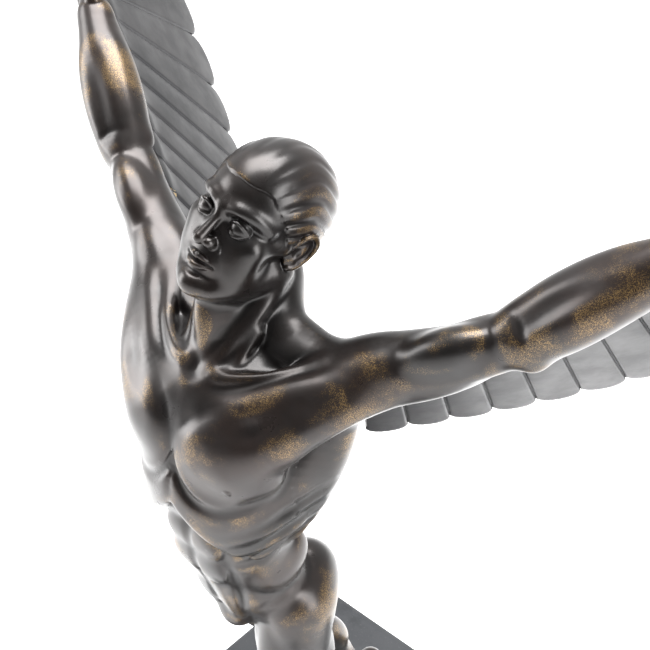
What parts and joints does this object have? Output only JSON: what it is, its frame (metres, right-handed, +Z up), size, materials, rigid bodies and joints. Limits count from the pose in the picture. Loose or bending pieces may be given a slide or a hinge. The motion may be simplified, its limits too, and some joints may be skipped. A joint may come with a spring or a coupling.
{
  "type": "hood ornament",
  "caption": "Winged athlete mascot in dark patinated bronze: a striding figure, arms raised, with feathered wings behind them, on a square plinth.",
  "frame": {"origin": "middle of the felt pad's underside, which is the face the ornament stands on", "axes": "+Z up, the figure faces -Y, and +X runs to the figure's left along the wing span"},
  "size_m": [0.2692, 0.123, 0.2657],
  "materials": {
    "body_bronze": "dark brown-black patina, satin, with fine gold rub on the high spots",
    "leg_bronze": "dark brown-black patina, satin, with fine gold rub on the high spots",
    "left_arm_bronze": "dark brown-black patina, satin, with fine gold rub on the high spots",
    "right_arm_bronze": "dark brown-black patina, satin, with fine gold rub on the high spots",
    "left_wing_bronze": "grey-brown patina, satin, darker in the feather grooves",
    "right_wing_bronze": "grey-brown patina, satin, darker in the feather grooves",
    "steel": "plain turned steel",
    "screw_brass": "aged brass",
    "plinth_stone": "dark slate grey, smooth satin",
    "felt": "pressed wool felt"
  },
  "bodies": {
    "root": {"body_casting": "body_bronze", "right_leg_casting": "leg_bronze", "left_arm_casting": "left_arm_bronze", "right_arm_casting": "right_arm_bronze", "left_wing": "left_wing_bronze", "right_wing": "right_wing_bronze", "hip_pin": "steel", "left_shoulder_pin": "steel", "right_shoulder_pin": "steel", "left_wing_screw_1": "screw_brass", "left_wing_screw_2": "screw_brass", "left_wing_screw_3": "screw_brass", "right_wing_screw_1": "screw_brass", "right_wing_screw_2": "screw_brass", "right_wing_screw_3": "screw_brass", "left_foot_stud": "steel", "right_foot_stud": "steel", "left_foot_washer": "steel", "right_foot_washer": "steel", "left_foot_nut": "steel", "right_foot_nut": "steel", "plinth": "plinth_stone", "felt_pad": "felt"}
  },
  "joints": []
}
